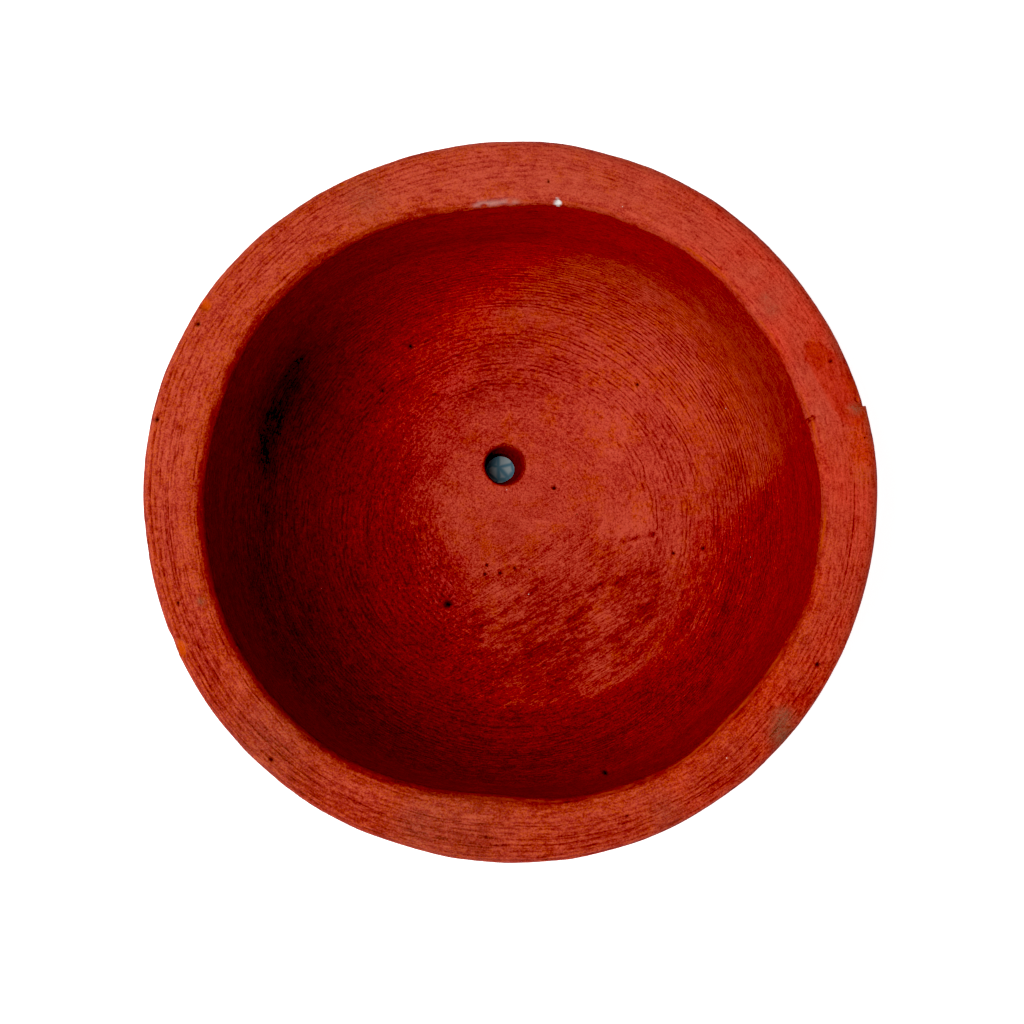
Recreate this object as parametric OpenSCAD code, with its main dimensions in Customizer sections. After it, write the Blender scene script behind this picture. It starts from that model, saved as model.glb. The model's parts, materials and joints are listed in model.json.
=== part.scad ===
// Hand-thrown terracotta bowl pot with a luted rim collar and one drain hole.
// Millimetres, +Z up. The origin is the middle of the underside, on the surface the pot stands on.

/* [Whole pot] */
// Height from the surface it stands on to the top of the rim
pot_height = 110; // [100:1:120]
// Diameter across the outside of the rim
rim_outer_d = 210; // [207:1:214]
// Diameter of the mouth, across the inner lip
mouth_d = 177; // [174:1:178]

/* [Bowl body] */
// Diameter of the flat, wire-cut underside
base_d = 112; // [104:1:120]
// Thickness of the floor at its middle
floor_thick = 12; // [10:0.5:14]
// Radius of the level middle of the floor inside
floor_flat_r = 31; // [29:1:32]
// Radius of the curve that carries the floor up into the wall
bowl_curve_r = 55; // [53:1:56]
// Thickness of the wall where it meets the rim collar
wall_thick = 12; // [11:0.5:13]
// Height of the short straight flare above the underside
heel_height = 10; // [8:1:12]

/* [Rim collar] */
// Height of the collar, from the joint to the top of the rim
collar_height = 34; // [32:1:36]
// Height of the tapered tongue on the wall that the collar seats on
tongue_height = 5; // [4:0.5:6]
// How far each flank of the tongue leans in
tongue_taper = 2.5; // [2:0.5:3]
// Radius of the rolled outer edge on top of the rim
outer_edge_r = 4; // [3:0.5:5]
// Radius of the crisp inner lip
lip_edge_r = 1.5; // [1:0.5:2]
// Radius of the collar's lower outer corner
under_edge_r = 3; // [2:0.5:3]
// How far the top of the rim falls from the lip to the outer edge
rim_fall = 1; // [0.5:0.5:2]
// How much wider the mouth is at the lip than at the collar's foot, on each side
mouth_draft = 2; // [1.5:0.5:2.5]

/* [Drain hole] */
// Diameter of the straight part of the drain hole
drain_d = 10; // [9:0.5:11]
// Diameter of the drain hole where it opens into the bowl
drain_mouth_d = 13.4; // [12:0.2:15]
// Length of the straight part, up from the underside
drain_straight = 7; // [6:0.5:8]
// Sideways place of the drain hole, which was poked off centre
drain_x = -1.6; // [-3:0.2:3]
// Front-to-back place of the drain hole
drain_y = 20.5; // [15:0.5:22]

/* [Hidden] */

clay = [0.66, 0.20, 0.12];
rim_clay = [0.72, 0.25, 0.17];
cut_past = 1;

rim_outer_r = rim_outer_d / 2;
mouth_r = mouth_d / 2;
base_r = base_d / 2;
joint_z = pot_height - collar_height;
collar_foot_r = mouth_r - mouth_draft;
curve_z = floor_thick + bowl_curve_r;
inner_wall_r = floor_flat_r + bowl_curve_r;
outer_wall_r = inner_wall_r + wall_thick;
outer_curve_r = bowl_curve_r + wall_thick;
tongue_top = joint_z + tongue_height;
tongue_inner_r = collar_foot_r + tongue_taper;
tongue_outer_r = outer_wall_r - tongue_taper;
rim_edge_z = pot_height - outer_edge_r - rim_fall;
heel_r = floor_flat_r + sqrt(outer_curve_r ^ 2 - (curve_z - heel_height) ^ 2);

// Half of the bowl's outer shape: heel, curved side, straight wall and the tongue's outer flank
module outer_half() {
    polygon([[0, 0], [base_r, 0], [heel_r, heel_height], [0, heel_height]]);
    intersection() {
        translate([floor_flat_r, curve_z]) circle(r = outer_curve_r, $fn = 180);
        translate([0, heel_height]) square([outer_wall_r, curve_z - heel_height]);
    }
    translate([0, heel_height]) square([floor_flat_r, curve_z - heel_height]);
    polygon([
        [0, curve_z],
        [outer_wall_r, curve_z],
        [outer_wall_r, joint_z],
        [tongue_outer_r, tongue_top],
        [0, tongue_top]
    ]);
}

// Half of the hollow inside: level floor, curved side, wall and the tongue's inner flank
module inner_half() {
    intersection() {
        translate([floor_flat_r, curve_z]) circle(r = bowl_curve_r, $fn = 180);
        translate([0, floor_thick]) square([inner_wall_r, bowl_curve_r]);
    }
    translate([0, floor_thick]) square([floor_flat_r, bowl_curve_r]);
    polygon([
        [0, curve_z],
        [inner_wall_r, curve_z],
        [collar_foot_r, joint_z],
        [tongue_inner_r, tongue_top],
        [tongue_inner_r, tongue_top + cut_past],
        [0, tongue_top + cut_past]
    ]);
}

// Drain hole: straight below, opening out towards the inside of the bowl
module drain_hole() {
    flare = floor_thick - drain_straight;
    translate([drain_x, drain_y, -cut_past])
        cylinder(d = drain_d, h = floor_thick + 2 * cut_past, $fn = 64);
    translate([drain_x, drain_y, drain_straight])
        cylinder(d1 = drain_d, d2 = drain_mouth_d, h = flare, $fn = 64);
    translate([drain_x, drain_y, floor_thick])
        cylinder(d = drain_mouth_d, h = cut_past, $fn = 64);
}

// Thrown bowl: floor, curved side and the tongue on top of the wall
module bowl_body() {
    color(clay)
        difference() {
            rotate_extrude($fn = 180)
                difference() {
                    outer_half();
                    inner_half();
                }
            drain_hole();
        }
}

// Thick coil of clay that stands on the wall and carries the broad flat rim
module rim_collar() {
    color(rim_clay)
        rotate_extrude($fn = 180)
            difference() {
                union() {
                    polygon([
                        [collar_foot_r, joint_z],
                        [rim_outer_r - under_edge_r, joint_z],
                        [rim_outer_r, joint_z + under_edge_r],
                        [rim_outer_r, rim_edge_z],
                        [rim_outer_r - outer_edge_r, rim_edge_z + outer_edge_r],
                        [mouth_r + lip_edge_r, pot_height],
                        [mouth_r, pot_height - lip_edge_r]
                    ]);
                    translate([rim_outer_r - outer_edge_r, rim_edge_z])
                        circle(r = outer_edge_r, $fn = 48);
                    translate([rim_outer_r - under_edge_r, joint_z + under_edge_r])
                        circle(r = under_edge_r, $fn = 48);
                    translate([mouth_r + lip_edge_r, pot_height - lip_edge_r])
                        circle(r = lip_edge_r, $fn = 48);
                }
                polygon([
                    [collar_foot_r, joint_z],
                    [tongue_inner_r, tongue_top],
                    [tongue_outer_r, tongue_top],
                    [outer_wall_r, joint_z]
                ]);
            }
}

bowl_body();
rim_collar();
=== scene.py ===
"""Hand-thrown, ochre-washed clay bowl pot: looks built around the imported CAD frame.

Lengths in the shape code are millimetres, and meshes are scaled to metres when they are made.
"""
import json
import math

import bpy
import numpy as np
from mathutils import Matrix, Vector


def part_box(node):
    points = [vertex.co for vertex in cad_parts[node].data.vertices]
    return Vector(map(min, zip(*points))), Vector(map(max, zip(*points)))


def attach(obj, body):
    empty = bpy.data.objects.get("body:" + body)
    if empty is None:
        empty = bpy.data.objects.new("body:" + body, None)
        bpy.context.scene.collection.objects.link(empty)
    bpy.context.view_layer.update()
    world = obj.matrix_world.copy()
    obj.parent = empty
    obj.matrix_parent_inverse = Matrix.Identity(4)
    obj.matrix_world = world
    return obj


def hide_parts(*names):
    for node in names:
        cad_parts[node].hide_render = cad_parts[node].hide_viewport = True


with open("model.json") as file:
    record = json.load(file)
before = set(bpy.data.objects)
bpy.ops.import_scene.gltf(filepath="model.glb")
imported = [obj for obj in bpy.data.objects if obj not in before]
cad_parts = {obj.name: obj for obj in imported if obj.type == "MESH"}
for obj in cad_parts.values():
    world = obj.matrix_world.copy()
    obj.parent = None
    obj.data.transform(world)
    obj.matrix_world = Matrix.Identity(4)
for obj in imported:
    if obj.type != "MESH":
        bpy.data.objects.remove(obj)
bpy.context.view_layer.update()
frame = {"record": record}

MM = 1000.0

# ---- sizes taken from the frame

BOWL_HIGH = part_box("bowl_body")[1]
RIM_LOW, RIM_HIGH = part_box("rim_collar")
POT_HEIGHT = RIM_HIGH.z * MM
RIM_R = RIM_HIGH.x * MM
JOINT_Z = RIM_LOW.z * MM
TONGUE_TOP = BOWL_HIGH.z * MM
WALL_R = BOWL_HIGH.x * MM
DRAIN = next(m for m in frame["record"]["mounts"] if m["name"] == "drain_hole")
DRAIN_X, DRAIN_Y = (c * MM for c in DRAIN["pos_m"][:2])
DRAIN_R = DRAIN["dims"]["r_mm"]
DRAIN_STRAIGHT = DRAIN["dims"]["length_mm"]

# ---- sizes of the CAD profile

BASE_R = 56.0
BEVEL_REACH = 0.6
BEVEL_RISE = 0.9
HEEL_Z = 10.0
FLOOR_Z = 12.0
FLAT_R = 31.0
CURVE_R = 55.0
WALL_THICK = 12.0
DRAIN_MOUTH_R = 6.7
MOUTH_R = 88.5
FOOT_R = 86.5
TONGUE_LEAN = 2.5
EDGE_R = 4.0
UNDER_R = 3.0
LIP_R = 2.8
RIM_FALL = 1.0
CURVE_Z = FLOOR_Z + CURVE_R
INNER_R = FLAT_R + CURVE_R
OUTER_CURVE_R = CURVE_R + WALL_THICK
ARC_LENGTH = CURVE_R * math.pi / 2
# Length along the hollow's profile, from the axis up to the joint under the collar
JOINT_S = FLAT_R + ARC_LENGTH + JOINT_Z - CURVE_Z
# Where the rim's coil closes, in degrees
SEAM = 14.5
# Each piece has a row of points this close to the joint, so that its shading stays level there
HUG = 0.03

# ---- small maths


def smooth(t):
    """0 to 1 with level ends."""
    t = np.clip(t, 0.0, 1.0)
    return t * t * (3 - 2 * t)


def between(value, start, end):
    """0 before start, 1 after end, smooth between. start may lie after end."""
    return smooth((value - start) / (end - start))


def turn_gap(theta, degrees):
    """Signed angle from a place on the circle, in degrees."""
    return (np.degrees(theta) - degrees + 180) % 360 - 180


def hump(theta, degrees, width):
    """1 at a place on the circle, falling off over width degrees."""
    return np.exp(-((turn_gap(theta, degrees) / width) ** 2))


NOISE_CELLS = 64


def noise(points, cell, seed):
    """Smooth value noise from -1 to 1. points is (..., 3) and cell its size along each axis."""
    table = np.random.default_rng(seed).uniform(-1, 1, (NOISE_CELLS,) * 3).astype(np.float32)
    scaled = points / np.asarray(cell, float)
    low = np.floor(scaled).astype(int)
    part = smooth(scaled - low)
    low %= NOISE_CELLS
    high = (low + 1) % NOISE_CELLS
    total = 0.0
    for corner in range(8):
        pick, weight = [], 1.0
        for axis in range(3):
            upper = corner >> axis & 1
            pick.append((high if upper else low)[..., axis])
            weight = weight * (part[..., axis] if upper else 1 - part[..., axis])
        total = total + weight * table[pick[0], pick[1], pick[2]]
    return total


def around(along, theta, length, turns, seed):
    """Noise drawn out round the pot: length is its size along the profile, and more turns are finer."""
    points = np.stack([along / length, np.cos(theta) * turns, np.sin(theta) * turns], -1)
    return noise(points, 1.0, seed)


# ---- profiles


def line(a, b, step):
    """Points from a up to but without b."""
    count = max(1, round(math.dist(a, b) / step))
    t = np.arange(count) / count
    return np.stack([a[0] + (b[0] - a[0]) * t, a[1] + (b[1] - a[1]) * t], 1)


def arc(centre, radius, start, end, step):
    """Points on an arc from start up to but without end, in degrees."""
    count = max(2, round(abs(math.radians(end - start)) * radius / step))
    a = np.radians(start + (end - start) * np.arange(count) / count)
    return np.stack([centre[0] + radius * np.cos(a), centre[1] + radius * np.sin(a)], 1)


def inside_z(r):
    """Height of the hollow's floor and curved side at a distance from the axis."""
    reach = np.clip(r - FLAT_R, 0, CURVE_R - 1e-6)
    return CURVE_Z - np.sqrt(CURVE_R ** 2 - reach ** 2)


def inside_s(r):
    """Length along the hollow's profile from the axis to a distance from it."""
    reach = np.clip((r - FLAT_R) / CURVE_R, 0, 1)
    return np.minimum(r, FLAT_R) + CURVE_R * np.arcsin(reach)


def inside_point(s):
    """Radius and height on the hollow's profile at a length along it."""
    a = np.clip((s - FLAT_R) / CURVE_R, 0, math.pi / 2)
    rise = np.clip(s - FLAT_R - ARC_LENGTH, 0, None)
    r = np.minimum(s, FLAT_R) + CURVE_R * np.sin(a)
    r = r + rise / (JOINT_Z - CURVE_Z) * (FOOT_R - INNER_R)
    return r, CURVE_Z - CURVE_R * np.cos(a) + rise


def columns(count):
    """Angles around the pot, closer together at the seam in the rim."""
    samples = 7201
    extra_at_seam = 2.5
    fine = np.linspace(0, 2 * math.pi, samples)
    density = 1 + extra_at_seam * hump(fine, SEAM, 4)
    share = np.concatenate([[0], np.cumsum((density[1:] + density[:-1]) / 2)])
    return np.interp(np.arange(count) / count, share / share[-1], fine)


# ---- hand-made irregularity

# Where the mouth and the rim bulge or are pressed in: (degrees, width in degrees, outward)
LIP_DENTS = [
    (0, 9, 0.9), (38, 8, -0.6), (64, 16, -0.9), (97, 21, -3.7), (126, 16, -0.9), (166, 12, -0.5),
    (212, 12, 0.8), (231, 10, 0.9), (265, 14, -2.9), (302, 9, 0.9), (341, 12, 1.4),
    (168, 38, -0.9), (240, 38, -1.4), (300, 30, -0.5),
]
RIM_DENTS = [
    (4, 12, 0.6), (60, 14, 0.25), (105, 13, -0.6), (135, 9, 0.2), (158, 21, 1.05),
    (252, 13, -0.3), (292, 12, 0.6), (318, 22, 0.3),
]


def lip_offset(theta):
    """How far the mouth strays from a circle."""
    offset = 1.0 - 0.27 * np.cos(theta) - 0.3 * np.sin(theta)
    for degrees, width, out in LIP_DENTS:
        offset = offset + out * hump(theta, degrees, width)
    return offset + 0.25 * around(0 * theta, theta, 1, 6, 11)


def rim_offset(theta):
    """How far the outside of the rim strays from a circle."""
    offset = 1.15 + 0.1 * np.cos(theta) + 0.33 * np.sin(theta) + 0.43 * np.cos(2 * theta)
    for degrees, width, out in RIM_DENTS:
        offset = offset + out * hump(theta, degrees, width)
    return offset + 0.2 * around(0 * theta, theta, 1, 7, 12)


def seam_step(theta):
    """The coil's two ends don't quite meet: one stands proud and the other is drawn in."""
    gap = turn_gap(theta, SEAM)
    return np.where(gap < 0, 0.5 * np.exp(gap / 10), -0.25 * np.exp(-gap / 12))


def warp(r, z, theta):
    """Radius moved in or out to the hand-made outline. Both pieces use it, so they meet."""
    share = np.clip((r - MOUTH_R) / (RIM_R - 3 - MOUTH_R), 0, 1)
    inner = lip_offset(theta) * between(z, 35, 100)
    outer = rim_offset(theta) * between(z, 20, 90)
    step = seam_step(theta) * between(z, POT_HEIGHT - 14, POT_HEIGHT - 4)
    return r + inner * (1 - share) + outer * share + step * (0.6 + 0.4 * share)


def toward_left(theta):
    """0 on the right half of the rim, rising to 1 at its left."""
    return between(np.cos(theta), 0.1, -0.6)


def toward_front(theta):
    """0 on the back half of the rim, rising to 1 at its front."""
    return between(np.sin(theta), 0.2, -0.7)


def sag(r, z, theta):
    """The rim's height wavers a little, and its lip slumps at the left and the front."""
    wave = 0.55 * around(0 * theta, theta, 1, 1.6, 21) + 0.18 * around(0 * theta, theta, 1, 5, 22)
    slump = 0.9 * np.maximum(toward_left(theta), toward_front(theta))
    slump = slump * between(r, MOUTH_R + 5.5, MOUTH_R + 0.5) * between(z, 96, 108)
    return z + wave * between(z, 84, 108) - slump


# ---- marks on the surface

RING_PITCH = 1.65
RING_DEPTH = 0.1
RIM_RING_DEPTH = 0.06
# The straight part of the drain hole lies this far from the middle of its mouth, in x and y
DRAIN_LEAN = (-1.8, -0.7)

# Pinholes inside the bowl: (x, y, radius, depth)
FLOOR_PITS = [
    (-20.6, -26.0, 1.2, 1.2), (-32.6, 58.0, 0.7, 0.6), (-42.0, 44.0, 0.6, 0.6),
    (14.7, 12.7, 0.7, 0.7), (42.0, 45.9, 0.55, 0.5), (63.2, -8.3, 0.6, 0.6),
    (53.8, -9.5, 0.55, 0.6), (29.3, -80.5, 0.8, 0.6), (-8.3, -16.1, 0.6, 0.5),
    (-7.7, -13.1, 0.5, 0.5), (-3.3, -15.7, 0.6, 0.5), (1.6, -14.1, 0.5, 0.5),
]
# Pinholes on top of the rim: (degrees, distance from the axis, radius, depth)
RIM_PITS = [
    (151.0, 101.9, 0.7, 0.6), (167.7, 103.0, 0.7, 0.5), (22.9, 100.3, 0.5, 0.6),
    (331.2, 99.8, 0.7, 0.6), (198, 99.5, 0.5, 0.5),
    (228, 101.5, 0.6, 0.5), (83, 94.0, 0.4, 0.4), (290, 97.0, 0.4, 0.4),
]
# Where the dry, grainy wash gives way to the smooth deep-red coat, along the profile.
# On the shaded left it comes low, and its flat deep red is painted shade there.
# (degrees, first coat, full coat)
COAT_EDGE = [
    (0, 54, 80), (8, 78, 128), (14, 100, 170), (22, 112, 192), (32, 112, 200), (45, 106, 200),
    (52, 96, 160), (60, 113, 145), (75, 100, 128), (90, 64, 88), (105, 38, 66), (120, 27, 52),
    (135, 25, 49), (150, 21, 43), (180, 18, 40), (210, 15, 31), (225, 13, 28), (240, 15, 29),
    (255, 31, 46), (270, 46, 63), (285, 42, 68), (300, 56, 73), (315, 56, 74), (330, 60, 74),
    (345, 59, 75), (352, 58, 77), (360, 54, 80),
]
# Drier and wetter places in the wash, the wetter ones towards the front and the left partly painted
# shade: (x, y, radius, amount)
WASH_PATCHES = [
    (46, 46, 20, 0.10), (42, 4, 12, 0.08), (71, 6, 13, -0.14), (2, -36, 16, -0.15),
    (-22, 44, 16, -0.18), (-34, 10, 14, -0.16), (-30, -12, 9, -0.4), (-22, -18, 7, -0.2),
    (30, -29, 5, 0.3), (39, -4, 7, 0.14), (-5, -21, 3, 0.22), (2, -30, 3, 0.2), (18, -8, 9, 0.12),
    (8, -48, 14, -0.2), (46, -40, 15, -0.2), (52, -20, 12, -0.1), (12, 34, 16, -0.05),
    (12, -3, 6, 0.1), (28, -52, 7, 0.1), (-1, 54, 17, -0.2), (-13, 47, 8, -0.06),
]
# Darker strokes left by the wiping: (x, y, x, y, half width, amount)
STREAKS = [
    (37.6, -5.2, 47.3, -3.1, 0.8, 0.6), (25.7, -21.1, 48.6, -15.3, 1.1, 0.4),
    (1.0, -25.5, 15.6, -17.3, 1.0, 0.35), (-10.0, -33.4, 3.3, -26.1, 1.1, 0.4),
    (18.9, -31.1, 25.6, -27.1, 1.5, 0.4), (6.6, -42.0, 24.2, -36.6, 2.2, 0.25),
    (22.2, -41.0, 13.8, -55.3, 2.6, 0.4), (37.5, -30.0, 47.4, -26.7, 1.2, 0.25),
    (-35.7, -16.9, -19.0, -20.3, 3.6, 0.3), (4, -33, 22, -23, 0.5, 0.4),
    (-6, -36, 10, -29, 0.6, 0.35), (10, -30, 24, -22, 0.4, 0.4), (0, -44, 26, -32, 0.7, 0.3),
    (30, -38, 48, -30, 0.7, 0.3),
]
# Fine light scratches across the floor: (x, y, x, y)
SCRATCHES = [
    (1.6, 2.0, 25.0, 0.4), (-23.4, -12.0, 18.9, -13.0), (-29.0, 13.0, -23.4, 14.0),
    (-26.0, -0.3, -21.7, 3.0), (-8.0, 7.0, -6.0, 10.3), (30.0, 26.0, 44.0, 31.0),
]
# The strokes across the floor: their direction, and the middle and half lengths of the area wiped
WIPE_TURN = math.radians(31)
WIPE_CENTRE = (14.0, -32.0)
WIPE_REACH = (44.0, 30.0)


def turned(x, y):
    """Coordinates along and across the direction of the wiping."""
    side, up = math.cos(WIPE_TURN), math.sin(WIPE_TURN)
    return x * side + y * up, -x * up + y * side


def wiped(x, y):
    """Share of the throwing rings that strokes across the floor have wiped out."""
    u, v = turned(x - WIPE_CENTRE[0], y - WIPE_CENTRE[1])
    reach = np.hypot(u / WIPE_REACH[0], v / WIPE_REACH[1])
    return between(reach, 1.1, 0.8)


def stroke_frame(x, y):
    """Coordinates along and across the wiping strokes, which bow a little."""
    bow, bow_start = 0.006, -6
    u, v = turned(x, y)
    return u, v - bow * (u - bow_start) ** 2


def strokes(x, y, length, width, seed):
    """Noise drawn out along the wiping strokes."""
    u, v = stroke_frame(x, y)
    return noise(np.stack([u / length, v / width, 0 * u], -1), 1.0, seed)


def coat_and_shade(s, theta, x, y):
    """Share of smooth deep-red coat: the wall, and the side that the brush reached last. On the shaded
    left it is painted shade as well.
    """
    degrees, first, full = zip(*COAT_EDGE)
    first, full = (np.interp(np.degrees(theta) % 360, degrees, edge) for edge in (first, full))
    low_side = between(y, 0, -30)
    ragged = 5 * strokes(x, y, 9, 2.4, 31) * low_side + 3 * strokes(x, y, 4, 1.0, 33) * low_side
    ragged = ragged + 7 * around(s, theta, 4, 4, 32) + 3 * around(s, theta, 1.5, 9, 34)
    return between(s + ragged, first, full)


def ring_phase(s, theta, seed):
    """Turned lines counted along the profile. They wander as the potter's fingers did."""
    wander = 1.5 * around(s, theta, 16, 1.1, seed) + 0.7 * around(s, theta, 6, 2.4, seed + 1)
    wander = wander + 0.3 * around(s, theta, 2.6, 7, seed + 2)
    return (s + wander) / RING_PITCH + 0.0016 * np.clip(s - 50, 0, None) ** 2


def hollow_phase(s, theta):
    """Turned lines inside the pot. They run on from the bowl into the collar."""
    stray = 0.12 * around(s, theta, 0.9, 26, 44)
    stray = stray + 0.3 * around(s, theta, 1.6, 12, 45) * between(s, 72, 44)
    return ring_phase(s, theta, 41) + stray


def ring_relief(phase, strength, depth=RING_DEPTH):
    """How far the turned lines rise and fall about the surface."""
    return depth * np.cos(2 * math.pi * phase) * strength


def ring_strength(s, theta, seed):
    """How strongly each turned line is cut from place to place."""
    cut = around(s, theta, 1.1, 2.0, seed) + 0.7 * around(s, theta, 8, 1.4, seed + 1)
    return between(cut + 0.5 * between(s, 66, 90), -0.7, 0.6)


def pits(x, y, marks):
    """How deep round pinholes go, and how dark they are painted, as painted shade in them."""
    depth, dark = 0.0, 0.0
    for px, py, radius, deep in marks:
        fall = np.exp(-(((x - px) ** 2 + (y - py) ** 2) / radius ** 2) ** 1.5)
        depth, dark = depth + deep * fall, dark + fall
    return depth, np.clip(dark, 0, 1)


def from_stroke(x, y, x1, y1, x2, y2):
    """Distance from a straight stroke between two places."""
    length = math.dist((x1, y1), (x2, y2))
    ux, uy = (x2 - x1) / length, (y2 - y1) / length
    on = np.clip((x - x1) * ux + (y - y1) * uy, 0, length)
    return np.hypot(x - x1 - on * ux, y - y1 - on * uy)


def at_rim(degrees, radius):
    """A place on the rim, from its direction and its distance from the axis."""
    return radius * math.cos(math.radians(degrees)), radius * math.sin(math.radians(degrees))


# Dark blotches on the upper-left wall: (x, y, z, radius)
BLOTCHES = [
    (-67.0, 49.0, 50, 3.5), (-71.0, 41.0, 48, 5.5), (-75.0, 32.0, 47, 6.5), (-77.0, 24.0, 46, 6.0),
    (-76.5, 15.0, 42, 6.0),
]
# Painted shade on the upper-left wall, round the blotches: (x, y, z, radius)
PAINTED_SHADE_PATCH = (-66, 40, 46, 24)


def dusty_wash(s, theta, p):
    """How dry the grainy wash inside the pot is."""
    return 0.56 + 0.09 * noise(p, 9, 61) + 0.08 * around(s, theta, 3.4, 3, 62)


def warm_wash(s, p):
    """Where the wash inside the pot turns orange, mostly up the side."""
    patchy = 0.7 * noise(p, 7, 64) + 0.8 * noise(p, 1.8, 66)
    return between(patchy + 0.42 * between(s, 50, 78), -0.2, 0.95)


def coat_dryness_and_light(s, theta):
    """How dry the smooth coat is, with painted light and shade: paler on the back wall as painted
    light, darker on the left wall as painted shade, and drier up the wall at the right and the front.
    """
    upper = 0.09 + 0.12 * hump(theta, 0, 50) + 0.2 * hump(theta, 250, 36)
    # Painted light on the back wall, painted shade on the left wall
    lit = 0.42 * hump(theta, 88, 40) + 0.04 * hump(theta, 0, 40) - 0.07 * hump(theta, 165, 45)
    lit = lit - 0.12 * hump(theta, 300, 50) * between(s, 112, 80) + upper * between(s, 88, 118)
    return 0.13 + 0.12 * around(s, theta, 2.0, 2, 63) + lit


def coat_grit(cover):
    """How strongly the grain shows, a little more on the smooth coat."""
    return 1 + 0.35 * cover


def blobs(p, places):
    """Round patches that fade out from their middles: (x, y, z, radius)."""
    total = 0.0
    for x, y, z, radius in places:
        total = total + np.exp(-((p - (x, y, z)) ** 2).sum(-1) / radius ** 2)
    return np.clip(total, 0, 1)


def dark_streaks(x, y, p):
    """How strongly the wiping's darker strokes show."""
    streak = 0.0
    for *ends, half, amount in STREAKS:
        far = from_stroke(x, y, *ends) * (1 + 0.5 * noise(p, 2.2, 58))
        streak = np.maximum(streak, amount * between(far, half * 1.6, half * 0.2))
    return streak * (0.75 + 0.5 * strokes(x, y, 4, 0.7, 68))


def with_patches(dry_and_light, x, y):
    """The wash's dryness with its drier and wetter places added."""
    for px, py, radius, amount in WASH_PATCHES:
        dry_and_light = dry_and_light + amount * np.exp(-((x - px) ** 2 + (y - py) ** 2) / radius ** 2)
    return dry_and_light


def with_scratches(dry_and_light, x, y, p):
    """The wash's dryness with the light scratches added."""
    for ends in SCRATCHES:
        thin = between(from_stroke(x, y, *ends) + 0.35 * noise(p, 2.5, 59), 0.5, 0.1)
        dry_and_light = dry_and_light + 0.3 * thin * between(noise(p, 2.0, 60), -0.6, 0.2)
    return dry_and_light


def hollow_surface(s, theta, p):
    """The hollow's relief over its profile, and the marks that go with it."""
    x, y = p[..., 0], p[..., 1]
    cover, wipe = coat_and_shade(s, theta, x, y), wiped(x, y)
    near_hole = np.hypot(x - DRAIN_X, y - DRAIN_Y)
    keep = (1 - 0.92 * wipe) * between(near_hole, 9, 24) * (1 - 0.15 * cover)
    keep = keep * (0.12 + 0.88 * between(s - 0.3 * y, 14, 46))
    phase = hollow_phase(s, theta)
    strength = ring_strength(s, theta, 46) * keep
    swell = around(s + 0.9 * around(s, theta, 40, 1.2, 48), theta, 3.6, 1.0, 49)
    broad = strokes(x, y, 15, 3.2, 51)
    fine = 1.1 * strokes(x, y, 5, 0.5, 52) + 0.7 * strokes(x, y, 8, 1.2, 53)
    fine = fine + 0.5 * noise(p, 1.6, 69)
    streak = dark_streaks(x, y, p)
    combed = between(0.4 * broad + 0.7 * fine, 0.15, 0.9) * wipe * (1 - 0.6 * cover)
    furrow = np.maximum(combed, streak)
    dents = 0.4 * noise(p, 22, 54) + 0.14 * noise(p, 8, 55)
    sand = 0.035 * noise(p, 0.95, 56) + 0.03 * noise(p, 1.9, 57)
    depth, dark = pits(x, y, FLOOR_PITS)
    height = 0.15 * swell * keep - ring_relief(phase, strength)
    height = height - 0.2 * furrow + dents + sand - depth

    dry_and_light = with_patches(dusty_wash(s, theta, p), x, y)
    dry_and_light = dry_and_light + wipe * (0.12 * broad + 0.15 * fine - 0.12) - 0.8 * streak
    dry_and_light = with_scratches(dry_and_light, x, y, p)
    dry_and_light = dry_and_light * (1 - cover) + cover * coat_dryness_and_light(s, theta)
    blotch = blobs(p, BLOTCHES)
    marks = {
        "dry_and_light": dry_and_light, "warm": warm_wash(s, p), "phase": phase, "wipe": wipe,
        "grit": coat_grit(cover), "strength": strength, "groove": 0.5 * furrow, "coat_and_shade": cover,
        # Black flecks at the blotches, and thinly over the left side, so darker towards the left
        "pit_shade": dark, "blotch": np.maximum(blotch, 0.25 * between(x, -40, -70)),
        # Painted shade over the upper-left wall, deepest at the blotches
        "darkening": np.clip(blobs(p, [PAINTED_SHADE_PATCH]) * 0.8 + 0.5 * blotch, 0, 1),
    }
    return height, marks


# ---- meshes

# What the wash's material reads at each point
# The dryness mark also carries painted light and shade
MARKS = (
    "along", "dry_and_light", "warm", "red", "wipe", "grit", "phase", "strength", "groove", "coat_and_shade", "pit_shade",
    "blotch", "darkening", "bare", "wear_and_highlight", "chalk", "grey",
)


def grid_normals(p):
    """Outward directions of a grid that closes on itself both ways."""
    down = np.roll(p, -1, 0) - np.roll(p, 1, 0)
    across = np.roll(p, -1, 1) - np.roll(p, 1, 1)
    n = np.cross(down, across)
    return n / np.maximum(np.linalg.norm(n, axis=2, keepdims=True), 1e-9)


def profile_lengths(profile):
    """Length along an outline at each of its points, as a column."""
    steps = np.diff(profile, axis=0, prepend=profile[:1])
    return np.cumsum(np.hypot(steps[:, 0], steps[:, 1]))[:, None]


def blank_marks(shape):
    """Every mark at its plain value: 1 for grit, 0 for the others."""
    return {key: np.full(shape, float(key == "grit")) for key in MARKS}


def put_marks(marks, where, values):
    """Writes marks for the rows of one stretch of the outline."""
    for key, value in values.items():
        marks[key][where] = value


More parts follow.
